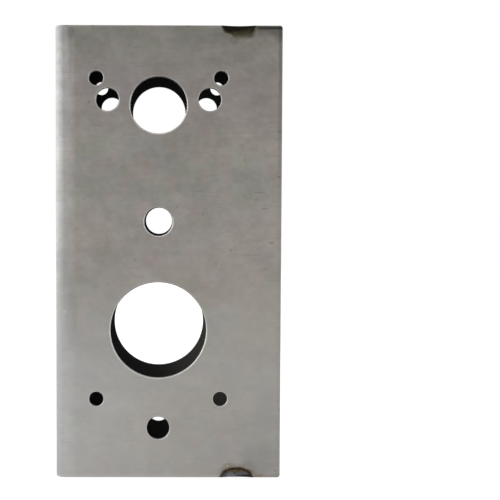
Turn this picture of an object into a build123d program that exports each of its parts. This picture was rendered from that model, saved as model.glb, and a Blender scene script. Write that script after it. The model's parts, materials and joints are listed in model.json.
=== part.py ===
import math
import os

from build123d import *

# A weldable steel box that takes a lock: an outer sheet folded to a U and an inner sheet folded to a C.
# +Z is up, the punched front face looks along -Y, the folded edge is at -X and the slotted edge at +X.
# The origin is at the middle of the bottom end. All sizes are in millimetres and angles in degrees.

# Outer size and sheet
box_height = 254.0
box_depth = 127.0
box_thickness = 44.45
sheet = 1.9
bend_outer_radius = 5.0
sheet_corner_radius = 1.5
fit_clearance = 0.25

# Punched holes, the same through both broad faces: a drop is from the top end, a height from the bottom end
backset = 69.0
hole_rim_bevel = 0.35
cylinder_hole_diameter = 31.75
cylinder_hole_drop = 44.1
spindle_hole_diameter = 15.9
spindle_hole_height = 144.8
lock_bore_diameter = 54.0
lock_bore_height = 83.7
lower_hole_diameter = 12.7
lower_hole_height = 28.2
post_hole_diameter = 12.7
post_hole_spacing = 57.15
post_hole_drop = 41.1
trim_hole_diameter = 7.9
trim_hole_spacing = 69.85
trim_hole_drop = 29.2
trim_hole_height = 44.6

# Face plate, set back inside the open edge, with its nibbled slot and its two tapped holes
plate_recess = 5.6
plate_bend_radius = 2.8
slot_width = 28.0
slot_drop = 45.1
slot_height = 40.5
punch_length = 25.4
punch_longest_step = 24.0
punch_wander = 0.15
screw_hole_diameter = 4.5
screw_hole_bevel = 0.3
screw_hole_above_slot = 4.8
screw_hole_below_slot = 10.95

# Tack welds at the four seams between the end caps and the broad faces
weld_setback = 24.6
weld_length = 19.0
weld_rise = 5.3
weld_depth = 3.0
weld_narrowing = 25.0
weld_dip = 0.4

# Places that follow from the sizes above
folded_edge_x = -box_depth / 2
open_edge_x = box_depth / 2
face_y = box_thickness / 2
hole_line_x = open_edge_x - backset
inner_face_y = face_y - sheet
bend_inner_radius = bend_outer_radius - sheet
plate_front_x = open_edge_x - plate_recess
plate_width = 2 * (inner_face_y - fit_clearance)
cap_end_x = folded_edge_x + sheet + fit_clearance
cap_corner_radius = bend_inner_radius - fit_clearance
slot_top = box_height - slot_drop
slot_length = slot_top - slot_height
punch_steps = math.ceil((slot_length - punch_length) / punch_longest_step)
punch_step = (slot_length - punch_length) / punch_steps
weld_middle_x = open_edge_x - weld_setback


def arc_radius(chord, rise):
    """Return the radius of the arc that rises by rise over chord."""
    return (chord**2 / 4 + rise**2) / (2 * rise)


def round_holes():
    """Return the diameter, x and z of each hole that is punched through both broad faces."""
    holes = [
        (cylinder_hole_diameter, hole_line_x, box_height - cylinder_hole_drop),
        (spindle_hole_diameter, hole_line_x, spindle_hole_height),
        (lock_bore_diameter, hole_line_x, lock_bore_height),
        (lower_hole_diameter, hole_line_x, lower_hole_height),
    ]
    for side in (-1, 1):
        post_x = hole_line_x + side * post_hole_spacing / 2
        trim_x = hole_line_x + side * trim_hole_spacing / 2
        holes.append((post_hole_diameter, post_x, box_height - post_hole_drop))
        holes.append((trim_hole_diameter, trim_x, box_height - trim_hole_drop))
        holes.append((trim_hole_diameter, trim_x, trim_hole_height))
    return holes


def end_circle_plane(side, top, radius, rise):
    """Return a plane on a broad face, centred so that a circle of radius reaches rise in from an end."""
    centre_z = box_height - rise + radius if top else rise - radius
    return Plane(origin=(weld_middle_x, side * face_y, centre_z), x_dir=(1, 0, 0), z_dir=(0, -side, 0))


def fused_metal(side, top):
    """Return what one weld has melted: a pool that narrows inwards through the face and into the cap's edge."""
    radius = arc_radius(weld_length, weld_rise)
    with BuildPart() as pool:
        with BuildSketch(end_circle_plane(side, top, radius, weld_rise)):
            Circle(radius)
        extrude(amount=weld_depth, taper=weld_narrowing)
        # The pool stops at the outside of the box and at the walls of the hollow
        with Locations((0, 0, box_height / 2)):
            Box(box_depth, box_thickness, box_height, mode=Mode.INTERSECT)
            Box(box_depth, 2 * inner_face_y, box_height - 2 * sheet, mode=Mode.SUBTRACT)
    return pool.part


# The four seams: name of the weld, side of the broad face and whether it is at the top
weld_seams = {
    "tack_weld_top_front": (-1, True),
    "tack_weld_bottom_front": (-1, False),
    "tack_weld_top_back": (1, True),
    "tack_weld_bottom_back": (1, False),
}
pools = {weld_name: fused_metal(side, top) for weld_name, (side, top) in weld_seams.items()}

# Outer shell: front face, folded edge and back face in one sheet
with BuildPart() as outer_shell:
    with BuildSketch():
        with BuildLine():
            FilletPolyline(
                (open_edge_x, -face_y),
                (folded_edge_x, -face_y),
                (folded_edge_x, face_y),
                (open_edge_x, face_y),
                radius=bend_outer_radius,
            )
            offset(amount=-sheet, side=Side.RIGHT, closed=True)
        make_face()
    extrude(amount=box_height)
    cut_corners = outer_shell.edges().filter_by(Axis.Y).group_by(Axis.X)[-1]
    fillet(cut_corners, radius=sheet_corner_radius)
    with BuildSketch(Plane.XZ):
        for diameter, hole_x, hole_z in round_holes():
            with Locations((hole_x, hole_z)):
                Circle(diameter / 2)
    extrude(amount=face_y, both=True, mode=Mode.SUBTRACT)
    rims = outer_shell.edges().filter_by(GeomType.CIRCLE).group_by(Axis.Y)
    chamfer(rims[0] + rims[-1], length=hole_rim_bevel)
    for pool in pools.values():
        add(pool, mode=Mode.SUBTRACT)

# Face channel: face plate with a full-depth cap at each end, in one sheet
with BuildPart() as face_channel:
    with BuildSketch(Plane.XZ):
        with BuildLine():
            FilletPolyline(
                (cap_end_x, 0),
                (plate_front_x, 0),
                (plate_front_x, box_height),
                (cap_end_x, box_height),
                radius=plate_bend_radius,
            )
            offset(amount=-sheet, side=Side.LEFT, closed=True)
        make_face()
    extrude(amount=plate_width / 2, both=True)
    cap_corners = face_channel.edges().filter_by(Axis.Z).group_by(Axis.X)[0]
    fillet(cap_corners, radius=cap_corner_radius)
    # The slot is nibbled by one long punch, a little to one side and the other, which leaves small ledges
    with BuildSketch(Plane.YZ.offset(plate_front_x)):
        for hit in range(punch_steps + 1):
            hit_z = slot_height + punch_length / 2 + hit * punch_step
            hit_y = punch_wander if hit % 2 else -punch_wander
            with Locations((hit_y, hit_z)):
                Rectangle(slot_width, punch_length)
    extrude(amount=-2 * sheet, mode=Mode.SUBTRACT)
    with BuildSketch(Plane.YZ.offset(plate_front_x)):
        with Locations((0, slot_top + screw_hole_above_slot), (0, slot_height - screw_hole_below_slot)):
            Circle(screw_hole_diameter / 2)
    extrude(amount=-2 * sheet, mode=Mode.SUBTRACT)
    screw_rims = face_channel.edges().filter_by(GeomType.CIRCLE).group_by(Axis.X)[-1]
    chamfer(screw_rims, length=screw_hole_bevel)
    for pool in pools.values():
        add(pool, mode=Mode.SUBTRACT)

outer_shell.part.label = "outer_shell"
face_channel.part.label = "face_channel"

os.makedirs("parts", exist_ok=True)
export_step(outer_shell.part, "parts/outer_shell.step")
export_step(face_channel.part, "parts/face_channel.step")

# Tack welds: the melted pools, with the end of each sunk a little below the sheet's edge
for weld_name, (side, top) in weld_seams.items():
    dip_radius = arc_radius(weld_length, weld_dip)
    with BuildPart() as tack_weld:
        add(pools[weld_name])
        with BuildSketch(end_circle_plane(side, top, dip_radius, weld_dip)):
            Circle(dip_radius)
        extrude(amount=weld_depth, mode=Mode.SUBTRACT)
    tack_weld.part.label = weld_name
    export_step(tack_weld.part, f"parts/{weld_name}.step")
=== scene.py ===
"""A weld-in steel lock box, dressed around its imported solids.

Lengths are in metres, in the solids' own frame: +Z is up, the punched front face looks along -Y, the folded
edge is at -X and the slotted edge at +X.
"""

import json
import logging
import math
from dataclasses import dataclass, field
from enum import Enum

import bmesh
import bpy
import numpy as np
from mathutils import Matrix, Vector


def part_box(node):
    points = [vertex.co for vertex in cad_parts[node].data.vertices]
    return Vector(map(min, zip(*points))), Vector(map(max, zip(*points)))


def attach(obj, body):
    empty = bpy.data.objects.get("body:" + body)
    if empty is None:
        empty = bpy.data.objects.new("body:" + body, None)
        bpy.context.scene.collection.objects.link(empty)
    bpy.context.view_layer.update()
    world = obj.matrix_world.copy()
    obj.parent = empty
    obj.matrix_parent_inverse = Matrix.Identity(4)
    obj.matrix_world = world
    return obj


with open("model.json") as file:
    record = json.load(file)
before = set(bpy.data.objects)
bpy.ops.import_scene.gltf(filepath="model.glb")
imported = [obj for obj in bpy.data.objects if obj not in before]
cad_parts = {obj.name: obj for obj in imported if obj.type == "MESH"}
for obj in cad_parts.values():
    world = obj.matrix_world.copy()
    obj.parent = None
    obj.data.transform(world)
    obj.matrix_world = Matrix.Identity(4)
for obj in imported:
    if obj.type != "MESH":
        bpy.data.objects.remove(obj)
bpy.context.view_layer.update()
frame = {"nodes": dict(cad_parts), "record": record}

log = logging.getLogger("lock_box")

MM = 0.001
Triple = tuple[float, float, float]
Colour = Triple
Socket = bpy.types.NodeSocket


class Slot(Enum):
    """The record's material slots."""

    SHELL = "shell_steel"
    CHANNEL = "channel_steel"
    WELD = "weld_metal"


@dataclass(frozen=True)
class Hole:
    """A round hole: its radius and the place of its axis."""

    radius: float
    x: float
    z: float


@dataclass(frozen=True)
class Mark:
    """A soft spot, tick or scratch on the front face: its place, its half sizes and its tone."""

    x: float
    z: float
    half_x: float
    half_z: float
    tone: float


@dataclass(frozen=True)
class BoxSizes:
    """Sizes that place the finishes and the added pieces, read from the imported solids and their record."""

    low: Vector = field(default_factory=lambda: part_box("outer_shell")[0])
    high: Vector = field(default_factory=lambda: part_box("outer_shell")[1])
    plate_front: float = field(default_factory=lambda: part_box("face_channel")[1].x)
    plate_half_width: float = field(default_factory=lambda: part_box("face_channel")[1].y)
    weld_low: Vector = field(default_factory=lambda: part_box("tack_weld_bottom_front")[0])
    weld_high: Vector = field(default_factory=lambda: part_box("tack_weld_bottom_front")[1])
    sheet: float = 1.9 * MM
    fold_radius: float = 5.0 * MM
    slot_half_width: float = 14.0 * MM
    slot_low: float = 40.5 * MM
    slot_high: float = 208.9 * MM
    slot_hits: int = 7
    slot_punch: float = 25.4 * MM
    large_hole: float = 7.0 * MM

    @property
    def height(self) -> float:
        """Height of the box."""
        return self.high.z

    @property
    def weld_x(self) -> float:
        """Middle of every tack weld along X."""
        return (self.weld_low.x + self.weld_high.x) / 2

    @property
    def weld_half_length(self) -> float:
        """Half the length of a tack weld on the broad face."""
        return (self.weld_high.x - self.weld_low.x) / 2

    @property
    def weld_rise(self) -> float:
        """How far a tack weld reaches in from the end of the box."""
        return self.weld_high.z

    @property
    def weld_depth(self) -> float:
        """How far a tack weld reaches in from the broad face."""
        return self.weld_high.y - self.weld_low.y

    def mount(self, name: str) -> dict:
        """Return the record's mount of that name."""
        return next(m for m in frame["record"]["mounts"] if m["name"] == name)

    def holes(self) -> list[Hole]:
        """Return every hole through the broad faces, as the record's mounts state them.

        Returns:
            The holes, the four on the middle line first.
        """
        found = []
        for name in ("cylinder_hole", "spindle_hole", "lock_bore", "lower_hole"):
            mount = self.mount(name)
            x, _, z = mount["pos_m"]
            found.append(Hole(mount["dims"]["r_mm"] * MM, x, z))
        for name in ("trim_holes", "post_holes"):
            mount = self.mount(name)
            x, _, z = mount["pos_m"]
            half_x = mount["dims"]["spacing_x_mm"] * MM / 2
            half_z = mount["dims"].get("spacing_y_mm", 0) * MM / 2
            radius = mount["dims"]["hole_r_mm"] * MM
            for side_z in sorted({-half_z, half_z}):
                found += [Hole(radius, x + side_x, z + side_z) for side_x in (-half_x, half_x)]
        return found

    def screw_holes(self) -> list[Hole]:
        """Return the lower and the upper tapped hole of the face plate, whose axes lie along X at Y 0.

        Returns:
            The two holes, whose x is that of the plate's front.
        """
        mount = self.mount("face_plate_screws")
        half = mount["dims"]["spacing_y_mm"] * MM / 2
        radius = mount["dims"]["hole_r_mm"] * MM
        return [Hole(radius, self.plate_front, mount["pos_m"][2] + side) for side in (-half, half)]


class Nodes:
    """A node tree, with one short method for each kind of node that the finishes and the room use."""

    def __init__(self, tree: bpy.types.NodeTree) -> None:
        """Start with the tree emptied."""
        self.tree = tree
        tree.nodes.clear()

    def add(self, kind: str) -> bpy.types.Node:
        """Return a new node of that kind."""
        return self.tree.nodes.new(kind)

    def put(self, socket: Socket, value: object) -> None:
        """Link value into socket if it is a socket, or else set it as the socket's own value."""
        if isinstance(value, bpy.types.NodeSocket):
            self.tree.links.new(value, socket)
        elif isinstance(value, tuple) and socket.type == "RGBA":
            socket.default_value = (*value, 1.0)
        else:
            socket.default_value = value

    def calc(self, operation: str, a: object, b: object = 0.0) -> Socket:
        """Return the result of one Math node.

        Args:
            operation: the node's operation.
            a: its first number or socket.
            b: its second number or socket.

        Returns:
            The result.
        """
        node = self.add("ShaderNodeMath")
        node.operation = operation
        self.put(node.inputs[0], a)
        self.put(node.inputs[1], b)
        return node.outputs[0]

    def chain(self, operation: str, terms: tuple) -> Socket:
        """Return the result of one Math operation carried through all the terms.

        Args:
            operation: the operation, which takes two terms at a time.
            terms: numbers or sockets.

        Returns:
            The last result.
        """
        total = terms[0]
        for term in terms[1:]:
            total = self.calc(operation, total, term)
        return total

    def sum(self, *terms: object) -> Socket:
        """Return the sum of the terms."""
        return self.chain("ADD", terms)

    def product(self, *terms: object) -> Socket:
        """Return the product of the terms."""
        return self.chain("MULTIPLY", terms)

    def least(self, *terms: object) -> Socket:
        """Return the smallest of the terms."""
        return self.chain("MINIMUM", terms)

    def most(self, *terms: object) -> Socket:
        """Return the largest of the terms."""
        return self.chain("MAXIMUM", terms)

    def minus(self, a: object, b: object) -> Socket:
        """Return a less b."""
        return self.calc("SUBTRACT", a, b)

    def left(self, *shares: object) -> Socket:
        """Return what the shares leave: the product of 1 less each of them."""
        return self.product(*(self.minus(1.0, share) for share in shares))

    def hypot(self, a: Socket, b: Socket) -> Socket:
        """Return the square root of a squared plus b squared."""
        return self.calc("SQRT", self.sum(self.product(a, a), self.product(b, b)))

    def split(self, place: Socket) -> tuple[Socket, Socket, Socket]:
        """Return a vector's three values.

        Args:
            place: the vector.

        Returns:
            Its X, Y and Z.
        """
        node = self.add("ShaderNodeSeparateXYZ")
        self.put(node.inputs[0], place)
        return tuple(node.outputs)

    def point(self, x: object, y: object, z: object) -> Socket:
        """Return a vector made of three values.

        Args:
            x: its X, a number or a socket.
            y: its Y.
            z: its Z.

        Returns:
            The vector.
        """
        node = self.add("ShaderNodeCombineXYZ")
        for socket, value in zip(node.inputs, (x, y, z)):
            self.put(socket, value)
        return node.outputs[0]

    def spread(
        self, value: object, low: float, high: float, to_low: float = 0.0, to_high: float = 1.0
    ) -> Socket:
        """Return value carried smoothly from low..high to to_low..to_high, and held beyond.

        Args:
            value: the number or socket that is carried.
            low: the value that gives to_low.
            high: the value that gives to_high, above low or below it.
            to_low: the result at low.
            to_high: the result at high.

        Returns:
            The result, along a smooth step.
        """
        node = self.add("ShaderNodeMapRange")
        node.interpolation_type = "SMOOTHSTEP"
        names = ("Value", "From Min", "From Max", "To Min", "To Max")
        given = (value, low, high, to_low, to_high) if low < high else (value, high, low, to_high, to_low)
        for name, number in zip(names, given):
            self.put(node.inputs[name], number)
        return node.outputs["Result"]

    def mix(self, share: object, a: object, b: object) -> Socket:
        """Return colour a where share is 0 and colour b where it is 1.

        Args:
            share: share of b.
            a: the first colour.
            b: the second colour.

        Returns:
            The mixed colour.
        """
        node = self.add("ShaderNodeMix")
        node.data_type = "RGBA"
        self.put(node.inputs["Factor"], share)
        self.put(node.inputs[6], a)
        self.put(node.inputs[7], b)
        return node.outputs[2]

    def tone(self, colour: object, *shares: object) -> Socket:
        """Return colour multiplied by each of the shares.

        Args:
            colour: the colour.
            shares: numbers or sockets that it is multiplied by.

        Returns:
            The changed colour.
        """
        node = self.add("ShaderNodeVectorMath")
        node.operation = "SCALE"
        self.put(node.inputs[0], colour)
        self.put(node.inputs["Scale"], self.product(*shares))
        return node.outputs["Vector"]

    def bump(self, height: object, distance: float, below: Socket | None = None) -> Socket:
        """Return a normal bent by height, where a height of 1 stands distance above 0.

        Args:
            height: the height, from 0 to 1.
            distance: how far a height of 1 stands out.
            below: the normal that is bent, if it isn't the face's own.

        Returns:
            The bent normal.
        """
        node = self.add("ShaderNodeBump")
        node.inputs["Distance"].default_value = distance
        self.put(node.inputs["Height"], height)
        if below is not None:
            self.put(node.inputs["Normal"], below)
        return node.outputs["Normal"]


class Graph(Nodes):
    """A material's nodes: its Principled shader, the places on the object and the patterns there."""

    def __init__(self, name: str) -> None:
        """Start an empty material with an output and a Principled shader.

        Args:
            name: what the material is called.
        """
        self.material = bpy.data.materials.new(name)
        self.material.use_nodes = True
        super().__init__(self.material.node_tree)
        self.shader = self.add("ShaderNodeBsdfPrincipled")
        output = self.add("ShaderNodeOutputMaterial")
        self.put(output.inputs["Surface"], self.shader.outputs["BSDF"])
        self.place = self.add("ShaderNodeTexCoord").outputs["Object"]
        self.x, self.y, self.z = self.split(self.place)

    def set(self, name: str, value: object) -> None:
        """Give the shader's input of that name a value of its own or a link."""
        self.put(self.shader.inputs[name], value)

    def shrink(self, place: Socket, size: Triple) -> Socket:
        """Return place measured in steps of size along each axis.

        Args:
            place: a vector.
            size: the size of a step along each axis.

        Returns:
            The vector in steps.
        """
        node = self.add("ShaderNodeVectorMath")
        node.operation = "DIVIDE"
        self.put(node.inputs[0], place)
        self.put(node.inputs[1], size)
        return node.outputs["Vector"]

    def noise(self, size: Triple, detail: float = 3.0) -> Socket:
        """Return noise from 0 to 1, whose patches measure about size along X, Y and Z.

        Args:
            size: size of the patches.
            detail: how many finer layers the noise has.

        Returns:
            The noise.
        """
        node = self.add("ShaderNodeTexNoise")
        self.put(node.inputs["Vector"], self.shrink(self.place, size))
        node.inputs["Scale"].default_value = 1.0
        node.inputs["Detail"].default_value = detail
        return node.outputs["Fac"]

    def marks(self, place: Socket, size: Triple, reach: float, share: float) -> Socket:
        """Return scattered marks on a flat pattern: 1 on a mark and 0 elsewhere.

        Args:
            place: the pattern's own flat coordinates, as its first two axes.
            size: size of the cells, each of which may hold one mark.
            reach: half the width of a mark, as a share of its cell.
            share: share of the cells that hold a mark.

        Returns:
            The marks' strength.
        """
        node = self.add("ShaderNodeTexVoronoi")
        node.voronoi_dimensions = "2D"
        self.put(node.inputs["Vector"], self.shrink(place, size))
        node.inputs["Scale"].default_value = 1.0
        lot = self.add("ShaderNodeSeparateColor")
        self.put(lot.inputs[0], node.outputs["Color"])
        chosen = self.spread(lot.outputs[0], share, share * 0.6)
        return self.product(self.spread(node.outputs["Distance"], reach, reach * 0.5), chosen)

    def swing(self, size: Triple, detail: float, depth: float) -> Socket:
        """Return noise of that size and detail that swings between -depth and depth."""
        return self.spread(self.noise(size, detail), 0.3, 0.7, -depth, depth)


class Places:
    """Distances on the box that several finishes need, worked out once in a material's graph."""

    def __init__(self, graph: Graph, sizes: BoxSizes) -> None:
        """Work out the distances from the ends, the open edge and the middle of the nearest weld.

        Args:
            graph: the material's graph.
            sizes: the sizes of the box.
        """
        g = graph
        self.graph = graph
        self.sizes = sizes
        self.under_top = g.minus(sizes.height, g.z)
        self.from_end = g.least(self.under_top, g.z)
        self.from_open = g.minus(sizes.high.x, g.x)
        self.at_top = g.spread(g.z, sizes.height / 2, sizes.height / 2 + MM)
        self.along_weld = g.calc("DIVIDE", g.minus(g.x, sizes.weld_x), sizes.weld_half_length)
        self.up_weld = g.calc("DIVIDE", self.from_end, sizes.weld_rise)
        in_weld = g.calc("DIVIDE", g.minus(sizes.high.y, g.calc("ABSOLUTE", g.y)), sizes.weld_depth)
        self.weld_reach = g.hypot(g.hypot(self.along_weld, self.up_weld), in_weld)
        self.flat = g.point(g.minus(g.x, g.y), g.z, 0.0)

    def under_skin(self) -> Socket:
        """Return the depth below the outside of the folded shell.

        The outside is a rectangle that is open at +X, with its two corners at -X rounded by the fold's
        radius. The depth is that radius less the distance from the rounded rectangle's inner corner
        lines.

        Returns:
            The depth, which is below 0 outside the shell.
        """
        g = self.graph
        radius = self.sizes.fold_radius
        across = g.minus(g.calc("ABSOLUTE", g.y), self.sizes.high.y - radius)
        back = g.minus(self.sizes.low.x + radius, g.x)
        beyond = g.hypot(g.most(across, 0.0), g.most(back, 0.0))
        return g.minus(radius, g.sum(beyond, g.least(g.most(across, back), 0.0)))

    def from_holes(self) -> tuple[Socket, Socket, Socket]:
        """Return where a point lies round the nearest hole through the broad faces.

        Returns:
            The distance from the rim, then 1 on the upper arc of any rim, then 1 on the lower arc of a
            large rim.
        """
        g = self.graph
        rims, over, under = [], [], []
        for hole in self.sizes.holes():
            up = g.minus(g.z, hole.z)
            rim = g.minus(g.hypot(g.minus(g.x, hole.x), up), hole.radius)
            near = g.spread(g.calc("ABSOLUTE", rim), 1.5 * MM, 1.0 * MM)
            rims.append(rim)
            over.append(g.product(near, g.spread(up, 0.2 * hole.radius, 0.8 * hole.radius)))
            if hole.radius > self.sizes.large_hole:
                under.append(g.product(near, g.spread(up, 0.5 * hole.radius, -0.2 * hole.radius)))
        return g.least(*rims), g.most(*over), g.most(*under)


@dataclass(frozen=True)
class Finish:
    """A finish that can be made into a material."""

    def make(self, name: str) -> bpy.types.Material:
        """Build the finish as a material of that name.

        Args:
            name: what the material is called.

        Returns:
            The material.
        """
        g = Graph(name)
        self.lay(g)
        return g.material

    def lay(self, g: Graph) -> None:
        """Lay the finish on a material's graph."""
        raise NotImplementedError


@dataclass(frozen=True)
class RolledSteel(Finish):
    """Raw rolled sheet: mottled greys with faint streaks along its grain, light scratches and specks."""

    sizes: BoxSizes
    warm: Colour = (0.316, 0.289, 0.254)
    cool: Colour = (0.298, 0.288, 0.266)
    olive: Colour = (0.289, 0.285, 0.238)
    rose: Colour = (0.326, 0.282, 0.256)
    clean: Colour = (0.298, 0.294, 0.288)
    dull: Colour = (0.299, 0.297, 0.270)
    # bared cut metal; on the hole rims and punched edges it also stands in for a painted highlight
    mauve: Colour = (0.314, 0.281, 0.270)
    cut: Colour = (0.540, 0.530, 0.512)
    scale: Colour = (0.050, 0.049, 0.048)
    # painted light: the lighter scale low down near the open edge, lit through the slot
    slot_lit_scale: Colour = (0.200, 0.185, 0.160)
    burnt: Colour = (0.016, 0.013, 0.009)
    straw: Colour = (0.180, 0.134, 0.080)
    smeared: Colour = (0.088, 0.083, 0.052)
    fine_streaks: Triple = (11 * MM, 11 * MM, 0.8 * MM)
    long_streaks: Triple = (42 * MM, 42 * MM, 2.6 * MM)
    streak_depth: float = 0.012
    field_depth: float = 0.030
    cloud_depth: float = 0.056
    grit_depth: float = 0.048
    smoothest: float = 0.42
    roughest: float = 0.50
    scale_roughness: float = 0.30
    scale_metal: float = 0.25
    grain_height: float = 0.012 * MM
    wave_height: float = 0.35 * MM

    def mottled(self, g: Graph) -> Socket:
        """Return the sheet's greys.

        They are broad warm and cool fields with olive and rose patches, two pinker bands across the
        sheet, duller near the top, and cleaner low down and along the folded edge.

        Args:
            g: the material's graph.

        Returns:
            The sheet's colour.
        """
        broad = g.spread(g.noise((34 * MM, 34 * MM, 28 * MM)), 0.38, 0.62)
        colour = g.mix(broad, self.warm, self.cool)
        olive = g.spread(g.noise((12 * MM, 21 * MM, 15 * MM)), 0.47, 0.62, 0.0, 0.75)
        colour = g.mix(olive, colour, self.olive)
        rose = g.spread(g.noise((9 * MM, 19 * MM, 13 * MM)), 0.50, 0.64, 0.0, 0.75)
        colour = g.mix(rose, colour, self.rose)
        low = g.spread(g.z, 120 * MM, 60 * MM)
        to_fold = g.spread(g.x, 20 * MM, -60 * MM, 0.42, 0.78)
        colour = g.mix(g.product(low, to_fold), colour, self.clean)
        upper_band = g.product(g.spread(g.z, 188 * MM, 202 * MM), g.spread(g.z, 243 * MM, 231 * MM), 0.60)
        lower_band = g.product(g.spread(g.z, 104 * MM, 118 * MM), g.spread(g.z, 160 * MM, 148 * MM), 0.35)
        colour = g.mix(g.sum(upper_band, lower_band), colour, self.mauve)
        colour = g.mix(g.spread(g.z, 222 * MM, 242 * MM, 0.0, 0.42), colour, self.dull)
        return g.mix(g.spread(g.x, -52 * MM, -59 * MM, 0.0, 0.75), colour, self.clean)

    def streaked(self, g: Graph, p: Places, colour: Socket) -> Socket:
        """Return colour with clouds, specks and streaks, which are all stronger in the upper half.

        Args:
            g: the material's graph.
            p: the distances on the box.
            colour: the colour so far.

        Returns:
            The changed colour.
        """
        deep = self.streak_depth
        broad = g.swing((40 * MM, 40 * MM, 24 * MM), 2.0, self.field_depth)
        cloud = g.swing((13 * MM, 13 * MM, 11 * MM), 5.0, self.cloud_depth)
        grit = g.swing((3.4 * MM, 3.4 * MM, 2.8 * MM), 3.0, self.grit_depth)
        fine = g.swing(self.fine_streaks, 2.0, deep)
        long = g.swing(self.long_streaks, 2.0, 1.3 * deep)
        strength = g.spread(g.z, 75 * MM, 140 * MM, 0.40, 1.0)
        coarse = g.product(g.spread(g.z, 195 * MM, 228 * MM, 0.0, 0.35), g.sum(broad, cloud))
        uneven = g.sum(1.0, g.product(strength, g.sum(broad, cloud, grit, fine, long)), coarse)
        dark = g.spread(g.marks(p.flat, (40 * MM, 4.0 * MM, 1.0), 0.11, 0.26), 0.0, 1.0, 1.0, 0.92)
        light = g.spread(g.marks(p.flat, (52 * MM, 5.0 * MM, 1.0), 0.09, 0.24), 0.0, 1.0, 1.0, 1.06)
        speck = g.spread(g.marks(p.flat, (13 * MM, 14 * MM, 1.0), 0.04, 0.14), 0.0, 1.0, 1.0, 0.80)
        return g.tone(colour, uneven, dark, light, speck)

    def scaled(self, g: Graph) -> Socket:
        """Return the colour of the mill scale in the hollow, lightened low down at the open edge as painted
        light from the slot and darkened high up as painted shade.

        Args:
            g: the material's graph.

        Returns:
            The scale's colour.
        """
        # painted light: the scale turns lighter low down towards the open edge, where light comes in through
        # the slot
        slot_light = g.product(g.spread(g.x, -20 * MM, 45 * MM), g.spread(g.z, 150 * MM, 40 * MM))
        colour = g.mix(slot_light, self.scale, self.slot_lit_scale)
        # painted shade: the scale darkens high up in the hollow
        return g.tone(colour, g.spread(g.z, 120 * MM, 200 * MM, 1.0, 0.35))

    def burnt_at_welds(self, g: Graph, p: Places, colour: Socket) -> Socket:
        """Return colour with the heat marks round the welds: a black line, then straw, then clean.

        The straw is strongest towards the open edge. At the top welds it is weak, and the black line
        gives way to an olive smear with a flat lower end and slanting sides.

        Args:
            g: the material's graph.
            p: the distances on the box.
            colour: the colour so far.

        Returns:
            The changed colour.
        """
        wander = g.minus(g.noise((5 * MM, 5 * MM, 4 * MM)), 0.5)
        rough = g.sum(p.weld_reach, g.product(wander, 0.30))
        broad = g.sum(p.weld_reach, g.product(wander, 1.20))
        tempered = g.product(g.spread(broad, 1.0, 1.9, 0.60, 0.0), g.spread(p.along_weld, -1.25, -0.60))
        tempered = g.product(tempered, g.left(g.product(p.at_top, 0.65)))
        colour = g.mix(tempered, colour, self.straw)
        kept = g.left(g.product(p.at_top, g.spread(p.along_weld, -0.6, 0.1)))
        lean = g.product(g.spread(p.along_weld, -0.4, 0.4), g.spread(p.up_weld, 0.5, 0.9), -0.08)
        line = g.spread(g.sum(rough, lean, g.spread(p.up_weld, 0.3, 0.9, 0.07, 0.0)), 0.96, 1.19, 0.92, 0.0)
        colour = g.mix(g.product(line, kept), colour, self.burnt)
        ragged = g.sum(p.up_weld, g.product(wander, 0.30))
        left = g.spread(g.minus(p.along_weld, g.product(ragged, 0.62)), -1.12, -1.02)
        right = g.spread(g.sum(p.along_weld, g.product(ragged, 0.20)), 1.27, 0.88)
        outside = g.spread(p.weld_reach, 2.2, 1.6)
        smear = g.product(p.at_top, g.spread(ragged, 1.56, 0.98), left, right, outside)
        return g.mix(smear, colour, g.mix(g.spread(ragged, 0.40, 1.00), self.burnt, self.smeared))

    def hollow(self, g: Graph, depth: Socket, front: float) -> Socket:
        """Return 1 on the hollow's walls, which keep their scale: deep in the sheet and behind front."""
        within = g.least(depth, g.minus(front, g.x))
        return g.spread(within, 0.75 * self.sizes.sheet, 0.95 * self.sizes.sheet)

    def finish(self, g: Graph, colour: Socket, scaled: Socket, crown: Socket | None = None) -> None:
        """Set the shader.

        Args:
            g: the material's graph.
            colour: the sheet's colour.
            scaled: 1 where the sheet is covered in mill scale, which is rough and hardly metallic.
            crown: a normal that the sheet's own bumps are added to, if its faces aren't flat.
        """
        g.set("Base Color", colour)
        g.set("Metallic", g.spread(scaled, 0.0, 1.0, 1.0, self.scale_metal))
        patches = g.noise((16 * MM, 16 * MM, 9 * MM))
        rolled = g.spread(patches, 0.3, 0.7, self.smoothest, self.roughest)
        g.set("Roughness", g.sum(rolled, g.product(scaled, self.scale_roughness)))
        grain = g.bump(g.noise((2.4 * MM, 2.4 * MM, 0.4 * MM), 2.0), self.grain_height, crown)
        g.set("Normal", g.bump(g.noise((45 * MM, 45 * MM, 60 * MM), 1.0), self.wave_height, grain))


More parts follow.
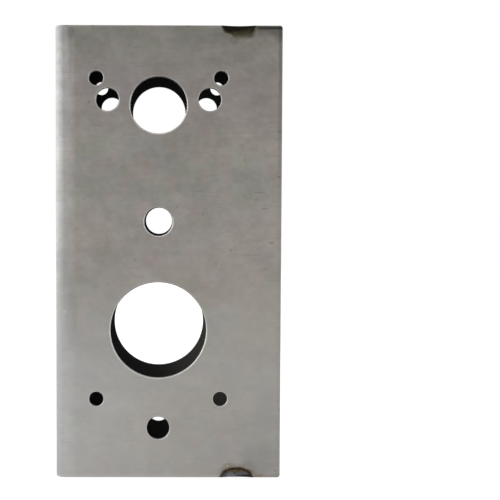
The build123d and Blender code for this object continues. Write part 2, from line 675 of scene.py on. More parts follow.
@dataclass(frozen=True)
class ShellSteel(RolledSteel):
    """The outer shell's sheet, with its bright hole rims, its folded edge and its grimy corner."""

    rim_width: float = 0.55 * MM
    # dark hole wall: the punch's burnishing and painted shade
    burnished_and_shaded: Colour = (0.045, 0.044, 0.042)
    soot: Colour = (0.016, 0.020, 0.019)
    sheared: Colour = (0.345, 0.345, 0.340)
    upper_level: float = 0.92
    low_gain: float = 0.315
    low_open_loss: float = 0.20
    high_open_gain: float = 0.12
    top_loss: float = 0.08
    crown_beside_fold: float = 1.4 * MM
    crown_over_sheet: float = 1.6 * MM
    line_soot: float = 0.76
    # painted shade along the foot
    shade_soot: float = 0.50
    foot_shade_strength: float = 0.30
    # painted highlight along the cut edges
    edge_highlight_strength: float = 0.10
    marks: tuple[Mark, ...] = (
        Mark(-0.0545, 0.2500, 0.0034, 0.0048, 0.72),
        Mark(-0.0516, 0.2463, 0.0068, 0.0085, 0.93),
        Mark(-0.0500, 0.2300, 0.0080, 0.0100, 1.07),
        Mark(0.0458, 0.1834, 0.0240, 0.0190, 1.10),
        Mark(0.0362, 0.2461, 0.0036, 0.0044, 0.80),
        Mark(0.0290, 0.2455, 0.0080, 0.0070, 0.93),
        Mark(0.0124, 0.1085, 0.0110, 0.0075, 0.91),
        Mark(-0.0545, 0.0907, 0.0045, 0.0250, 0.90),
        Mark(0.0526, 0.0104, 0.0160, 0.0120, 0.88),
        Mark(-0.0574, 0.2380, 0.0030, 0.0160, 1.08),
        Mark(-0.0549, 0.2370, 0.0014, 0.0220, 0.92),
        Mark(-0.0540, 0.2236, 0.0100, 0.0004, 1.10),
        Mark(-0.0507, 0.2385, 0.0040, 0.0004, 1.08),
        Mark(-0.0445, 0.2115, 0.0009, 0.0008, 0.66),
        Mark(-0.0433, 0.2088, 0.0007, 0.0007, 0.72),
        Mark(-0.0403, 0.2306, 0.0010, 0.0006, 0.72),
        Mark(-0.0406, 0.1986, 0.0013, 0.0008, 0.82),
        Mark(-0.0554, 0.2003, 0.0006, 0.0007, 0.72),
        Mark(-0.0569, 0.2539, 0.0012, 0.0012, 0.55),
        Mark(-0.0423, 0.2539, 0.0014, 0.0010, 0.60),
        Mark(-0.0164, 0.2539, 0.0020, 0.0009, 0.70),
        Mark(0.0111, 0.2539, 0.0016, 0.0010, 0.60),
        Mark(0.0389, 0.1930, 0.0230, 0.0005, 1.08),
        Mark(0.0391, 0.2011, 0.0085, 0.0005, 1.06),
        Mark(0.0427, 0.1795, 0.0013, 0.0015, 0.85),
        Mark(0.0176, 0.1620, 0.0045, 0.0007, 0.90),
        Mark(0.0508, 0.1612, 0.0046, 0.0006, 0.76),
        Mark(0.0566, 0.1605, 0.0026, 0.0005, 1.09),
        Mark(0.0492, 0.1570, 0.0012, 0.0010, 0.85),
        Mark(0.0270, 0.1536, 0.0150, 0.0004, 1.05),
        Mark(0.0540, 0.1522, 0.0026, 0.0006, 0.76),
        Mark(0.0195, 0.1490, 0.0008, 0.0022, 0.87),
        Mark(0.0116, 0.1497, 0.0007, 0.0010, 1.13),
        Mark(0.0464, 0.1261, 0.0085, 0.0005, 0.87),
        Mark(0.0268, 0.1211, 0.0013, 0.0013, 0.87),
        Mark(0.0545, 0.1184, 0.0024, 0.0007, 0.88),
        Mark(0.0622, 0.1952, 0.0014, 0.0008, 0.70),
        Mark(0.0620, 0.1700, 0.0017, 0.0008, 0.72),
        Mark(0.0105, 0.1992, 0.0011, 0.0010, 0.82),
        Mark(0.0049, 0.1531, 0.0009, 0.0010, 0.84),
        Mark(-0.0187, 0.1233, 0.0011, 0.0012, 0.84),
        Mark(0.0350, 0.1287, 0.0012, 0.0011, 0.78),
        Mark(0.0580, 0.1331, 0.0019, 0.0008, 0.74),
        Mark(-0.0265, 0.1755, 0.0012, 0.0009, 0.85),
        Mark(0.0076, 0.2220, 0.0009, 0.0011, 0.80),
        Mark(-0.0260, 0.1990, 0.0020, 0.0015, 0.88),
        Mark(-0.0162, 0.1138, 0.0045, 0.0018, 0.90),
        Mark(-0.0580, 0.0942, 0.0016, 0.0018, 1.14),
        Mark(0.0610, 0.0038, 0.0008, 0.0009, 0.72),
    )

    def lay(self, g: Graph) -> None:
        """Lay the finish on a material's graph.

        Args:
            g: the material's graph.
        """
        p = Places(g, self.sizes)
        depth = p.under_skin()
        colour = self.streaked(g, p, self.mottled(g))
        colour = self.painted_broad_light(g, colour)
        colour = self.marked(g, colour)
        colour = self.soot_and_painted_edges(g, p, colour)
        colour = self.burnt_at_welds(g, p, colour)
        scaled = self.hollow(g, depth, self.sizes.plate_front - self.sizes.sheet)
        colour = g.mix(scaled, colour, self.scaled(g))
        colour = self.rimmed(g, p, depth, colour)
        self.finish(g, colour, scaled, self.crowned(g))

    def painted_broad_light(self, g: Graph, colour: Socket) -> Socket:
        """Return colour with painted light and shade in slow changes over the sheet.

        It is painted lighter low down, a little more towards the folded edge, lighter high up towards the
        open edge, darker low down at the open edge and darker at the top, with a painted highlight beside
        the folded edge. Each change is a smooth step along X or Z, and two of them are multiplied where a
        change belongs to one corner.

        Args:
            g: the material's graph.
            colour: the colour so far.

        Returns:
            The changed colour.
        """
        low = g.spread(g.z, 136 * MM, 26 * MM)
        lower = g.spread(g.z, 90 * MM, 15 * MM)
        to_open = g.spread(g.x, -45 * MM, 55 * MM)
        to_fold = g.spread(g.x, -25 * MM, -60 * MM)
        fold_highlight = g.spread(g.x, -54 * MM, -61 * MM)
        up = g.spread(g.z, self.sizes.height - 36 * MM, self.sizes.height - 4 * MM)
        # painted light and shade: the face's tone follows how the light lies on it
        cleaner = g.product(low, self.low_gain)
        darker = g.product(lower, to_open, -self.low_open_loss)
        slow = g.sum(self.upper_level, cleaner, darker, g.product(low, to_fold, 0.02))
        lighter = g.product(g.left(low), to_open, self.high_open_gain)
        slow = g.sum(slow, lighter, g.product(up, -self.top_loss))
        # painted highlight beside the folded edge
        return g.tone(colour, g.sum(slow, g.product(fold_highlight, 0.05)))

    def marked(self, g: Graph, colour: Socket) -> Socket:
        """Return colour with the spots, ticks and scratches of the front face.

        Args:
            g: the material's graph.
            colour: the colour so far.

        Returns:
            The changed colour.
        """
        front = g.spread(g.y, 0.0, -1.0 * MM)
        tones = []
        for mark in self.marks:
            across = g.product(g.minus(g.x, mark.x), 1 / mark.half_x)
            along = g.product(g.minus(g.z, mark.z), 1 / mark.half_z)
            shape = g.spread(g.hypot(across, along), 1.0, 0.3)
            tones.append(g.sum(1.0, g.product(shape, front, mark.tone - 1)))
        return g.tone(colour, *tones)

    def crowned(self, g: Graph) -> Socket:
        """Return the normal of a sheet that the fold has left slightly crowned, mostly close beside it."""
        close = g.bump(g.spread(g.x, -51.5 * MM, -64.5 * MM, 1.0, 0.0), self.crown_beside_fold)
        return g.bump(g.spread(g.x, 5 * MM, -75 * MM, 1.0, 0.0), self.crown_over_sheet, close)

    def soot_and_painted_edges(self, g: Graph, p: Places, colour: Socket) -> Socket:
        """Return colour with soot between the weld and the open top corner, a painted highlight along the
        cut edges and painted shade at the foot.

        The soot is a dark line just under the top edge and a softer band below it, both from the weld
        onwards, and a darker band down the open edge that fades with height. Just above the bottom edge the
        sheet is lighter before the weld and darker past it. The painted highlight lies along the top and
        bottom edges before the weld, and the painted shade darkens the lowest half millimetre, where the box
        stands on the floor.

        Args:
            g: the material's graph.
            p: the distances on the box.
            colour: the colour so far.

        Returns:
            The changed colour.
        """
        wander = g.noise((6 * MM, 6 * MM, 6 * MM))
        past_weld = g.spread(g.x, self.sizes.weld_high.x, self.sizes.weld_high.x + 2 * MM)
        above = g.spread(p.under_top, 2.6 * MM, 1.7 * MM)
        line = g.product(above, g.spread(p.under_top, 0.5 * MM, 1.0 * MM), past_weld, self.line_soot)
        drawn_down = g.product(g.spread(p.from_open, 9 * MM, 1 * MM), 4 * MM)
        rough = g.sum(g.minus(p.under_top, drawn_down), g.product(wander, 4 * MM))
        shade = g.product(g.spread(rough, 9.5 * MM, 3 * MM), past_weld, self.shade_soot)
        near_open = g.spread(g.sum(p.from_open, g.product(wander, 2 * MM)), 4.0 * MM, 2.2 * MM)
        near_open = g.product(near_open, g.spread(p.from_open, 0.45 * MM, 1.0 * MM, 0.35, 1.0))
        side = g.product(near_open, g.spread(p.under_top, 110 * MM, 8 * MM, 0.06, 0.34))
        # painted highlight along the top and bottom edges before the weld
        painted_edge_highlight = g.product(g.spread(p.from_end, 1.3 * MM, 0.5 * MM), g.left(past_weld), self.edge_highlight_strength)
        # painted shade along the foot, where the box stands on the floor
        foot = g.product(g.spread(g.z, 0.55 * MM, 0.35 * MM), self.foot_shade_strength)
        low_line = g.product(g.spread(g.z, 2.4 * MM, 1.2 * MM), g.sum(0.07, g.product(past_weld, -0.18)))
        nick = g.spread(g.noise((2.2 * MM, 2.2 * MM, 2.2 * MM), 1.0), 0.68, 0.75)
        at_edge = g.spread(g.least(p.from_end, p.from_open), 1.0 * MM, 0.3 * MM)
        # the soot colour also paints the shade along the foot
        colour = g.mix(g.left(line, shade, side, foot), self.soot, colour)
        return g.tone(colour, g.sum(1.0, painted_edge_highlight, low_line), g.left(g.product(nick, at_edge, 0.5)))

    def rimmed(self, g: Graph, p: Places, depth: Socket, colour: Socket) -> Socket:
        """Return colour with the bright metal bared by the punch and the shear, and painted light and shade
        on the hole rims.

        Each hole has a bright rim of bared metal that also stands in for a painted highlight; painted shade
        darkens it where it looks down, and a painted highlight brightens the lower arc of a large rim. The
        wall is dark from the punch's burnishing and from painted shade. The cut edge along the open side is
        a light grey that grows darker towards the top.

        Args:
            g: the material's graph.
            p: the distances on the box.
            depth: depth below the outside of the shell.
            colour: the colour so far.

        Returns:
            The changed colour.
        """
        reach, over, under = p.from_holes()
        # dark wall: the punch's burnishing and painted shade
        wall = g.product(g.spread(reach, 0.12 * MM, 0.04 * MM), g.spread(depth, 0.35 * MM, 0.50 * MM))
        colour = g.mix(wall, colour, self.burnished_and_shaded)
        worn = g.product(g.noise((3 * MM, 3 * MM, 3 * MM), 2.0), 0.5 * MM)
        # bright rim: bared metal, and a painted highlight
        ring = g.spread(g.sum(reach, worn), self.rim_width + 0.45 * MM, self.rim_width)
        outside = g.spread(depth, 0.45 * MM, 0.32 * MM)
        # painted shade on the upper arc, which looks down, and a painted highlight on the lower arc of a
        # large rim
        shaded_upper_arc = g.product(over, g.spread(reach, 0.45 * MM, 0.25 * MM))
        rim_light_and_shade = g.product(g.sum(1.0, g.product(under, 0.32)), g.left(g.product(shaded_upper_arc, 0.75)))
        colour = g.mix(g.product(ring, outside), colour, g.tone(self.cut, rim_light_and_shade))
        sheared = g.spread(p.from_open, 0.28 * MM, 0.12 * MM)
        return g.mix(sheared, colour, g.tone(self.sheared, g.spread(p.under_top, 0.0, 230 * MM, 0.8, 1.15)))


@dataclass(frozen=True)
class ChannelSteel(RolledSteel):
    """The face channel's sheet: neutral grey with its grain along Z, with painted shade beside the flanges.
    """

    warm: Colour = (0.300, 0.292, 0.280)
    cool: Colour = (0.286, 0.289, 0.286)
    olive: Colour = (0.280, 0.286, 0.266)
    rose: Colour = (0.306, 0.288, 0.280)
    fine_streaks: Triple = (20 * MM, 2.2 * MM, 45 * MM)
    long_streaks: Triple = (20 * MM, 5.0 * MM, 110 * MM)
    streak_depth: float = 0.032
    edge_width: float = 0.45 * MM
    ring_width: float = 0.30 * MM
    bend_radius: float = 2.8 * MM

    def lay(self, g: Graph) -> None:
        """Lay the finish on a material's graph.

        Args:
            g: the material's graph.
        """
        p = Places(g, self.sizes)
        colour = self.streaked(g, p, self.mottled(g))
        colour = self.shaded(g, colour)
        colour = self.burnt_at_welds(g, p, colour)
        scaled = self.hollow(g, p.from_end, self.sizes.plate_front)
        colour = g.mix(scaled, colour, self.scaled(g))
        colour = self.punched(g, colour)
        self.finish(g, colour, scaled)

    def shaded(self, g: Graph, colour: Socket) -> Socket:
        """Return colour with painted light and shade: darker towards the top, painted shade beside the
        flanges and low down, and painted highlights at the top bend.

        The painted shade lies beside the flanges, where the plate is sunk between them, with a thin painted
        shadow line in the seam at the front flange, in the crease above the bottom bend and along the foot.
        It reaches out further from the front flange than from the back one, and is darkest near the top. The
        sheet beside the slot is also darker over most of the slot's height.

        Args:
            g: the material's graph.
            colour: the colour so far.

        Returns:
            The changed colour.
        """
        # painted shade: lighter low down and darker towards the top, as the light lies on the plate
        painted_falloff = g.spread(g.z, 30 * MM, self.sizes.height, 1.18, 0.50)
        wander = g.product(g.noise((4 * MM, 4 * MM, 22 * MM)), 4 * MM)
        reach = self.sizes.plate_half_width
        # painted shade beside the flanges, where the plate is sunk between them
        front = g.spread(g.sum(g.y, reach, wander), 12 * MM, 2.5 * MM)
        back = g.spread(g.sum(g.minus(reach, g.y), wander), 7.5 * MM, 2.0 * MM)
        front = g.product(front, g.spread(g.z, 20 * MM, 180 * MM, 0.26, 0.58))
        back = g.product(back, g.spread(g.z, 20 * MM, 180 * MM, 0.30, 0.44))
        beside = g.product(g.spread(g.z, 50 * MM, 92 * MM, 0.0, 0.5), g.spread(g.z, 214 * MM, 192 * MM))
        under_top = g.minus(self.sizes.height, g.z)
        # painted highlights on the top bend and on the sheet just under it
        bend = g.spread(under_top, 1.15 * self.bend_radius, 0.75 * self.bend_radius, 1.0, 1.45)
        painted_top_light = g.spread(under_top, 20 * MM, 3 * MM, 1.0, 1.4)
        # painted shade in the crease above the bottom bend and along the foot, and a painted shadow line in
        # the seam at the front flange
        from_crease = g.calc("ABSOLUTE", g.minus(g.z, 1.3 * self.bend_radius))
        crease = g.spread(from_crease, 0.7 * MM, 0.2 * MM, 1.0, 0.90)
        foot = g.spread(g.z, 1.1 * MM, 0.5 * MM, 1.0, 0.30)
        seam = g.spread(g.sum(g.y, reach), 0.9 * MM, 0.4 * MM, 1.0, 0.5)
        # painted shade beside the flanges, times a darkening over the slot's height
        soot = g.left(front, back, beside)
        return g.tone(colour, painted_falloff, g.product(soot, seam), bend, painted_top_light, crease, foot)

    def punched(self, g: Graph, colour: Socket) -> Socket:
        """Return colour with bright bared metal along the slot's sides and round the two screw holes, which
        also stands in for a painted highlight.

        Args:
            g: the material's graph.
            colour: the colour so far.

        Returns:
            The changed colour.
        """
        sizes = self.sizes
        worn = g.product(g.noise((2 * MM, 2 * MM, 5 * MM), 2.0), 0.9 * MM)
        middle = (sizes.slot_low + sizes.slot_high) / 2
        past_side = g.minus(g.calc("ABSOLUTE", g.y), sizes.slot_half_width)
        past_end = g.minus(g.calc("ABSOLUTE", g.minus(g.z, middle)), (sizes.slot_high - sizes.slot_low) / 2)
        past_slot = g.sum(g.most(past_side, past_end), worn)
        edge = g.spread(past_slot, self.edge_width + 0.3 * MM, self.edge_width)
        rings = []
        for hole in sizes.screw_holes():
            rings.append(g.minus(g.hypot(g.y, g.minus(g.z, hole.z)), hole.radius))
        ring = g.spread(g.sum(g.least(*rings), worn), self.ring_width + 0.3 * MM, self.ring_width)
        # bared metal, which also stands in for a painted highlight
        bright = g.most(g.product(edge, 0.8), g.product(ring, 0.7))
        in_front = g.spread(g.minus(sizes.plate_front, g.x), sizes.sheet, 0.6 * sizes.sheet)
        return g.mix(g.product(bright, in_front), colour, self.cut)


@dataclass(frozen=True)
class WeldMetal(Finish):
    """Ground weld: blued grey with brown above it and a black outline, at the top end sooty and olive."""

    sizes: BoxSizes
    blue: Colour = (0.092, 0.094, 0.104)
    rust: Colour = (0.104, 0.072, 0.040)
    olive: Colour = (0.074, 0.067, 0.036)
    burnt: Colour = RolledSteel.burnt
    pit_depth: float = 0.03 * MM

    def lay(self, g: Graph) -> None:
        """Lay the finish on a material's graph.

        Args:
            g: the material's graph.
        """
        p = Places(g, self.sizes)
        patchy = g.minus(g.noise((3.2 * MM, 3.2 * MM, 2.2 * MM)), 0.5)
        up = g.sum(g.product(p.from_end, 1 / self.sizes.weld_rise), g.product(patchy, 0.25))
        ground = g.mix(g.spread(up, 0.42, 0.66), self.blue, self.rust)
        stain = g.spread(g.noise((2.4 * MM, 2.4 * MM, 1.0 * MM)), 0.56, 0.66, 0.0, 0.75)
        ground = g.mix(stain, ground, self.burnt)
        edge = g.sum(p.weld_reach, g.product(patchy, 0.12))
        # painted highlight: a lighter spot low on the weld, left of its middle
        spot = g.hypot(g.product(g.sum(p.along_weld, 0.30), 2.4), g.product(p.up_weld, 1.5))
        darker_end = g.spread(p.along_weld, -0.45, -0.75, 1.0, 0.75)
        ground = g.tone(ground, darker_end, g.spread(spot, 1.0, 0.4, 1.0, 1.75))
        ground = g.mix(g.spread(edge, 0.76, 0.98, 0.0, 0.92), ground, self.burnt)
        burr = g.sum(p.from_end, g.product(p.along_weld, -1.3 * MM), g.product(patchy, 0.5 * MM))
        ground = g.mix(g.spread(burr, 1.25 * MM, 0.60 * MM, 0.0, 0.85), ground, self.burnt)
        tail = g.sum(up, g.product(p.along_weld, 0.30), g.product(patchy, 0.4))
        sooty = g.mix(g.spread(tail, 0.40, 1.00), self.burnt, self.olive)
        g.set("Base Color", g.mix(p.at_top, ground, sooty))
        g.set("Metallic", 1.0)
        g.set("Roughness", g.spread(patchy, -0.2, 0.2, 0.38, 0.58))
        pits = g.spread(g.noise((0.9 * MM, 0.9 * MM, 0.9 * MM), 2.0), 0.30, 0.45)
        g.set("Normal", g.bump(pits, self.pit_depth))


@dataclass(frozen=True)
class BaredSteel(Finish):
    """Freshly cut or torn steel: brighter and cleaner than the sheet, with fine tool marks."""

    bright: Colour = (0.62, 0.61, 0.59)
    dull: Colour = (0.36, 0.35, 0.33)
    mark_depth: float = 0.02 * MM

    def lay(self, g: Graph) -> None:
        """Lay the finish on a material's graph.

        Args:
            g: the material's graph.
        """
        patchy = g.noise((1.5 * MM, 1.5 * MM, 2.5 * MM))
        g.set("Base Color", g.mix(g.spread(patchy, 0.35, 0.65), self.bright, self.dull))
        g.set("Metallic", 1.0)
        g.set("Roughness", g.spread(patchy, 0.3, 0.7, 0.30, 0.45))
        g.set("Normal", g.bump(g.noise((0.3 * MM, 0.3 * MM, 0.3 * MM), 2.0), self.mark_depth))


def paint(piece: bpy.types.Object, material: bpy.types.Material) -> None:
    """Put material in every slot of piece, so that all of it shows that finish."""
    if not piece.material_slots:
        piece.data.materials.append(material)
    for place in piece.material_slots:
        place.material = material


def soften(piece: bpy.types.Object, width: float, sharp_angle: float) -> None:
    """Join a solid's loose triangles by a modifier and round its sharp edges by width.

    Args:
        piece: the solid's object.
        width: width of the rounding.
        sharp_angle: the least angle between two faces, in radians, at which their edge is rounded.
    """
    joined = piece.modifiers.new("joined", "WELD")
    joined.merge_threshold = 0.001 * MM
    rounded = piece.modifiers.new("rounded", "BEVEL")
    rounded.width = width
    rounded.segments = 2
    rounded.limit_method = "ANGLE"
    rounded.angle_limit = sharp_angle
    rounded.harden_normals = True


def closed_runs(
    rings: np.ndarray, first: np.ndarray, last: np.ndarray
) -> tuple[np.ndarray, list[list[int]]]:
    """Join several runs of rings into closed skins, each ended by one point at either end.

    Vertex numbers come from whole arrays: a quad joins place (i, j) to (i + 1, j), (i + 1, j + 1) and (i,
    j + 1), where j goes round and closes on itself, and a triangle joins each end point to each side of
    its nearest ring.

    Args:
        rings: points as an array of runs by rings by points by three.
        first: the end point before each run's first ring.
        last: the end point after each run's last ring.

    Returns:
        The points and the faces.
    """
    runs, count, around = rings.shape[:3]
    points = np.concatenate([rings.reshape(-1, 3), first, last])
    number = np.arange(runs * count * around).reshape(runs, count, around)
    onward = np.roll(number, -1, axis=2)
    quads = np.stack([number[:, :-1], number[:, 1:], onward[:, 1:], onward[:, :-1]], axis=-1).reshape(-1, 4)
    start = np.broadcast_to(number.size + np.arange(runs)[:, None], (runs, around))
    end = start + runs
    opening = np.stack([start, number[:, 0], onward[:, 0]], axis=-1).reshape(-1, 3)
    closing = np.stack([end, onward[:, -1], number[:, -1]], axis=-1).reshape(-1, 3)
    return points, quads.tolist() + opening.tolist() + closing.tolist()


def tapered(rings: np.ndarray) -> tuple[np.ndarray, list[list[int]]]:
    """Join runs of rings into closed skins, where each run's first and last ring are points already."""
    return closed_runs(rings[:, 1:-1], rings[:, 0, 0], rings[:, -1, 0])


def fading(share: np.ndarray) -> np.ndarray:
    """Return the square root of the sine of share's part of half a turn, which is 0 at both ends."""
    return np.sqrt(np.sin(math.pi * share))


def half_round(width: float) -> tuple[np.ndarray, np.ndarray]:
    """Return how far across and how high the section of a half-round ridge lies, its foot a little sunk."""
    arch = np.linspace(0.0, math.pi, 5)
    return np.append(0.5 * width * np.cos(arch), 0.0), np.append(np.sin(arch), -0.15)


def round_hole(hole: Hole, x: np.ndarray, radius: np.ndarray, angle: np.ndarray) -> np.ndarray:
    """Return the points at x along the hole's axis, radius away from it and turned by angle from +Y."""
    return np.stack([x, radius * np.cos(angle), hole.z + radius * np.sin(angle)], axis=-1)


def outwards(mesh: bpy.types.Mesh) -> None:
    """Turn the faces of a closed mesh so that they all point outwards.

    Args:
        mesh: the mesh, whose faces may point either way.
    """
    work = bmesh.new()
    work.from_mesh(mesh)
    bmesh.ops.recalc_face_normals(work, faces=work.faces)
    work.to_mesh(mesh)
    work.free()


def add_piece(name: str, points: np.ndarray, faces: list, material: bpy.types.Material) -> None:
    """Make one smooth piece of the box, riding with it.

    Args:
        name: the piece's name.
        points: its points, in the box's own frame.
        faces: its faces, as lists of point numbers.
        material: its finish.
    """
    mesh = bpy.data.meshes.new(name)
    mesh.from_pydata(points.tolist(), [], faces)
    outwards(mesh)
    mesh.shade_smooth()
    piece = bpy.data.objects.new(name, mesh)
    bpy.context.scene.collection.objects.link(piece)
    paint(piece, material)
    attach(piece, "root")


@dataclass
class FoldedSheets:
    """The two folded sheets of the box: the outer shell and the face channel inside its open edge."""

    sizes: BoxSizes
    edge_round: float = 0.18 * MM
    sharp_angle: float = math.radians(35)

    def dress(self) -> None:
        """Round the cut edges of both sheets a little and give each its steel."""
        finishes = {"outer_shell": ShellSteel(self.sizes), "face_channel": ChannelSteel(self.sizes)}
        for node, steel in finishes.items():
            sheet = frame["nodes"][node]
            soften(sheet, self.edge_round, self.sharp_angle)
            paint(sheet, steel.make(f"{node}_steel"))
            log.info("%s dressed in raw rolled steel", node)


@dataclass
class TackWelds:
    """The four tack welds at the seams of the caps and the broad faces, and the bottom ones' spatter."""

    sizes: BoxSizes
    beads: tuple[Triple, ...] = ((-0.53, 1.27, 0.34 * MM), (-0.70, 1.64, 0.22 * MM))
    rings: int = 5
    around: int = 12

    def dress(self) -> None:
        """Give each weld its ground and heat-marked metal, and the bottom ones their beads."""
        metal = WeldMetal(self.sizes).make("weld_metal")
        bead_metal = BaredSteel().make("bead_steel")
        for node in sorted(n for n in frame["nodes"] if n.startswith("tack_weld")):
            paint(frame["nodes"][node], metal)
            log.info("%s dressed in ground weld metal", node)
            if "bottom" in node:
                self.spatter(node, bead_metal)

    def spatter(self, node: str, metal: bpy.types.Material) -> None:
        """Add the beads that a weld spat onto its broad face.

        Each bead's place is a share of the weld's half length from its middle, and a share of its rise
        from the bottom end. The bead is a low dome: at angle a up from the sheet, its ring has radius r
        cos a and stands 0.7 r sin a above the sheet.

        Args:
            node: name of the weld's node.
            metal: the beads' finish.
        """
        side = math.copysign(1.0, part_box(node)[0].y)
        along, up_weld, size = np.array(self.beads).T
        x = self.sizes.weld_x + self.sizes.weld_half_length * along
        y = np.full(x.size, side * self.sizes.high.y)
        middle = np.stack([x, y, self.sizes.weld_rise * up_weld], axis=-1)
        up = np.linspace(0.0, 0.5 * math.pi * (1 - 1 / self.rings), self.rings)
        angle = np.linspace(0.0, 2 * math.pi, self.around, endpoint=False)
        out = size[:, None, None] * np.cos(up)[None, :, None]
        rise = 0.7 * size[:, None, None] * np.sin(up)[None, :, None] * np.ones(self.around)
        offset = np.stack([out * np.cos(angle), side * rise, out * np.sin(angle)], axis=-1)
        rings = middle[:, None, None, :] + offset
        outward = np.array([0.0, side, 0.0])
        foot = middle - outward * 0.02 * MM
        crown = middle + outward * 0.7 * size[:, None]
        points, faces = closed_runs(rings, foot, crown)
        add_piece(f"{node}_spatter", points, faces, metal)
        log.info("%d beads of spatter beside %s", size.size, node)


@dataclass
class TappedHoles:
    """The threads in the face plate's two screw holes."""

    sizes: BoxSizes
    pitch: float = 25.4 * MM / 24
    ridge_height: float = 0.16 * MM
    ridge_width: float = 0.62 * MM
    chamfer: float = 0.3 * MM
    steps_per_turn: int = 48

    def build(self) -> None:
        """Make the thread of each hole."""
        metal = BaredSteel().make("thread_steel")
        for name, hole in zip(("lower", "upper"), self.sizes.screw_holes()):
            points, faces = self.ridge(hole)
            add_piece(f"screw_thread_{name}", points, faces, metal)
            log.info("thread cut in the %s screw hole", name)

    def ridge(self, hole: Hole) -> tuple[np.ndarray, list[list[int]]]:
        """Work out one thread's ridge.

        The ridge is a helix: at turn angle a its section lies at X = start + pitch a / 2 pi, turned by a
        about the hole's axis. The section is a low triangle whose crest stands in from the hole's wall,
        and it shrinks to nothing at both ends as the square root of a sine.

        Args:
            hole: the hole that the thread is in.

        Returns:
            The points and the faces.
        """
        low = hole.x - self.sizes.sheet + self.ridge_width / 2
        run = self.sizes.sheet - self.chamfer - self.ridge_width
        turns = run / self.pitch
        share = np.linspace(0.0, 1.0, int(self.steps_per_turn * turns) + 3)
        angle = 2 * math.pi * turns * share
        fade = fading(share)[:, None]
        across = np.array([-0.5, 0.0, 0.5, 0.0]) * self.ridge_width
        inward = np.array([0.0, 1.0, 0.0, -0.1]) * self.ridge_height
        x = low + run * share[:, None] + across * fade
        rings = round_hole(hole, x, hole.radius - inward * fade, angle[:, None])
        return tapered(rings[None])


@dataclass
class ScrewBurr:
    """The torn lip that the tap left on one side of each screw hole."""

    sizes: BoxSizes
    lower_arc: tuple[float, float] = (-1.45, -0.15)
    upper_arc: tuple[float, float] = (1.75, 4.05)
    width: float = 0.85 * MM
    height: float = 0.34 * MM
    inset: float = 0.52 * MM
    steps: int = 48

    def build(self) -> None:
        """Make the lip of each hole.

        The lip is a low ridge along an arc round the hole, with angle 0 at +Y. Its height and its reach
        from the rim change with the angle as sums of sines, and it dies out at both ends.
        """
        metal = BaredSteel().make("lip_steel")
        arcs = (self.lower_arc, self.upper_arc)
        across, up = half_round(self.width)
        for name, hole, arc in zip(("lower", "upper"), self.sizes.screw_holes(), arcs):
            share = np.linspace(0.0, 1.0, self.steps + 2)[:, None]
            angle = arc[0] + (arc[1] - arc[0]) * share
            fade = fading(share)
            uneven = 0.70 + 0.18 * np.sin(17 * share + arc[0]) + 0.12 * np.sin(41 * share)
            wander = 0.12 * MM * np.sin(11 * share + 1.0)
            radius = hole.radius + self.inset + wander + across * fade * uneven
            x = self.sizes.plate_front + self.height * uneven * fade * up
            points, faces = tapered(round_hole(hole, x, radius, angle)[None])
            add_piece(f"screw_lip_{name}", points, faces, metal)
            log.info("torn lip beside the %s screw hole", name)


@dataclass
class SlotBurr:
    """The thin burr that the nibbling punch turned up along both sides of the slot, hit by hit."""

    sizes: BoxSizes
    width: float = 0.45 * MM
    height: float = 0.11 * MM
    inset: float = 0.35 * MM
    gap: float = 0.6 * MM
    steps: int = 40

    def build(self) -> None:
        """Make the burr.

        Along each hit the burr is a low half-round ridge. Its height is the full height times a slow sum
        of sines that differs from hit to hit, and it dies out at the ledges between hits.
        """
        sizes = self.sizes
        step = (sizes.slot_high - sizes.slot_low - sizes.slot_punch) / (sizes.slot_hits - 1)
        ledges = sizes.slot_low + step * np.arange(1, sizes.slot_hits) + (sizes.slot_punch - step) / 2
        low = np.tile(np.append(sizes.slot_low, ledges) + self.gap / 2, 2)
        high = np.tile(np.append(ledges, sizes.slot_high) - self.gap / 2, 2)
        middle = np.repeat([-1.0, 1.0], sizes.slot_hits) * (sizes.slot_half_width + self.inset)
        share = np.linspace(0.0, 1.0, self.steps + 2)
        phase = 2.4 * np.arange(low.size)[:, None]
        uneven = 0.65 + 0.2 * np.sin(9 * share + phase) + 0.15 * np.sin(23 * share + 2 * phase)
        fade = fading(share)
        across, up = half_round(self.width)
        x = sizes.plate_front + (self.height * uneven * fade)[..., None] * up
        y = np.broadcast_to(middle[:, None, None] + fade[:, None] * across, x.shape)
        z = np.broadcast_to((low[:, None] + (high - low)[:, None] * share)[..., None], x.shape)
        points, faces = tapered(np.stack([x, y, z], axis=-1))
        add_piece("slot_burr", points, faces, BaredSteel().make("burr_steel"))
        log.info("burr turned up along %d hits on both sides of the slot", sizes.slot_hits)


@dataclass(frozen=True)
class SoftLamp:
    """A rectangular soft lamp: its name, place, aim, width and height, power in watts and colour."""

    name: str
    place: Triple
    aim: Triple
    size: tuple[float, float]
    power: float
    colour: Colour = (1.0, 1.0, 1.0)

    def build(self) -> None:
        """Make the lamp, unseen by the camera."""
        data = bpy.data.lights.new(self.name, "AREA")
        data.shape = "RECTANGLE"
        data.size, data.size_y = self.size
        data.energy = self.power
        data.color = self.colour
        lamp = bpy.data.objects.new(self.name, data)
        lamp.visible_camera = False
        lamp.location = self.place
        lamp.rotation_euler = (Vector(self.aim) - Vector(self.place)).to_track_quat("-Z", "Y").to_euler()
        bpy.context.scene.collection.objects.link(lamp)


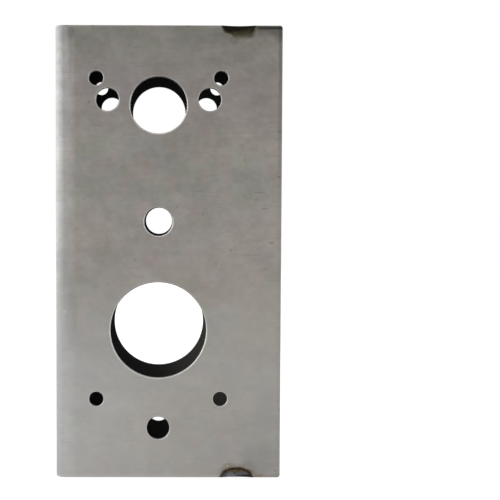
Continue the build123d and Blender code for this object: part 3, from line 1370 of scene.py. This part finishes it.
@dataclass
class Studio:
    """Plain pale floor, soft lamps and the camera that the photograph was taken with."""

    sizes: BoxSizes
    photo_side_px: float = 500.0
    focal_px: float = 874.0
    axis_px: tuple[float, float] = (170.0, 242.3)
    eye_left: float = 1.05 * MM
    eye_ahead: float = 489.9 * MM
    eye_rise: float = 24.18 * MM
    tilt_down: float = math.radians(2.098)
    turn_right: float = math.radians(0.24)
    roll: float = math.radians(0.14)
    floor_half: float = 30.0
    floor_tone: float = 0.36
    floor_glow: float = 0.84
    room_light: float = 0.5
    front_dim: float = 0.55
    front_way: Triple = (0.6, -0.8, 0.0)

    def build(self) -> None:
        """Make the camera, the floor, the world and the lamps."""
        self.camera()
        self.floor()
        self.world()
        pale_blue = (0.94, 0.97, 1.0)
        beside = (0.0, -0.95, 0.40)
        SoftLamp("side_softbox", (-1.00, -0.95, 0.40), beside, (4.0, 1.5), 21.0, pale_blue).build()
        SoftLamp("edge_softbox", (-0.95, 0.55, 0.50), (0.0, 0.10, 0.20), (1.4, 1.4), 5.0, pale_blue).build()
        SoftLamp("back_softbox", (0.70, 1.10, 0.80), (0.0, 0.0, 0.13), (1.2, 1.2), 9.0).build()

    def camera(self) -> None:
        """Make the photograph's camera.

        Its place and turn come from a fit of the box's outline and holes. The lens axis meets the picture
        at axis_px, left of the middle, so the frame is shifted by that much.
        """
        data = bpy.data.cameras.new("photo_camera")
        data.sensor_width = 36.0
        data.lens = data.sensor_width * self.focal_px / self.photo_side_px
        data.shift_x = (self.photo_side_px / 2 - self.axis_px[0]) / self.photo_side_px
        data.shift_y = (self.axis_px[1] - self.photo_side_px / 2) / self.photo_side_px
        data.clip_start = 0.01
        camera = bpy.data.objects.new("photo_camera", data)
        in_front = self.sizes.low.y - self.eye_ahead
        eye = Vector((-self.eye_left, in_front, self.sizes.height / 2 + self.eye_rise))
        turned = Matrix.Rotation(-self.turn_right, 4, "Z")
        upright = turned @ Matrix.Rotation(math.pi / 2 - self.tilt_down, 4, "X")
        camera.matrix_world = Matrix.Translation(eye) @ upright @ Matrix.Rotation(self.roll, 4, "Z")
        bpy.context.scene.collection.objects.link(camera)
        bpy.context.scene.camera = camera

    def floor(self) -> None:
        """Make the floor that the box stands on: white to the eye and in reflections, darker in shadow."""
        half = self.floor_half
        mesh = bpy.data.meshes.new("floor")
        corners = [(-half, -half, 0.0), (half, -half, 0.0), (half, half, 0.0), (-half, half, 0.0)]
        mesh.from_pydata(corners, [], [(0, 1, 2, 3)])
        floor = bpy.data.objects.new("floor", mesh)
        bpy.context.scene.collection.objects.link(floor)
        g = Graph("pale_floor")
        g.set("Base Color", (self.floor_tone,) * 3)
        g.set("Roughness", 0.9)
        g.set("Specular IOR Level", 0.0)
        g.set("Emission Color", (1.0, 1.0, 1.0))
        g.set("Emission Strength", g.product(self.seen(g), self.floor_glow))
        paint(floor, g.material)

    def seen(self, nodes: Nodes) -> Socket:
        """Return 1 for rays from the camera, reflected rays and rays through glass, and 0 for the rest."""
        rays = nodes.add("ShaderNodeLightPath").outputs
        return nodes.most(rays["Is Camera Ray"], rays["Is Glossy Ray"], rays["Is Transmission Ray"])

    def world(self) -> None:
        """Make the room: white to the eye, and in reflections white but for a dimmer part high in front.

        The strength seen in a reflection is 1 less front_dim times how far the direction is up times how
        far it is to the front and the open edge.
        """
        world = bpy.data.worlds.new("room")
        world.use_nodes = True
        nodes = Nodes(world.node_tree)
        light = nodes.add("ShaderNodeBackground")
        nodes.put(light.inputs["Color"], (1.0, 1.0, 1.0))
        nodes.put(nodes.add("ShaderNodeOutputWorld").inputs["Surface"], light.outputs[0])
        direction = nodes.add("ShaderNodeTexCoord").outputs["Generated"]
        front = nodes.add("ShaderNodeVectorMath")
        front.operation = "DOT_PRODUCT"
        nodes.put(front.inputs[0], direction)
        nodes.put(front.inputs[1], self.front_way)
        up = nodes.spread(nodes.split(direction)[2], -0.10, 0.30, 0.0, self.front_dim)
        ahead = nodes.spread(front.outputs["Value"], -0.2, 0.5)
        glossy = nodes.add("ShaderNodeLightPath").outputs["Is Glossy Ray"]
        mirrored = nodes.left(nodes.product(up, ahead, glossy))
        level = nodes.spread(self.seen(nodes), 0.0, 1.0, self.room_light, 1.0)
        nodes.put(light.inputs["Strength"], nodes.product(mirrored, level))
        bpy.context.scene.world = world


def main() -> None:
    """Build the studio and dress every piece of the box."""
    logging.basicConfig(level=logging.INFO, format="%(name)s: %(message)s")
    bpy.context.scene.view_settings.view_transform = "Standard"
    sizes = BoxSizes()
    Studio(sizes).build()
    FoldedSheets(sizes).dress()
    TackWelds(sizes).dress()
    TappedHoles(sizes).build()
    ScrewBurr(sizes).build()
    SlotBurr(sizes).build()


if __name__ == "__main__":
    main()
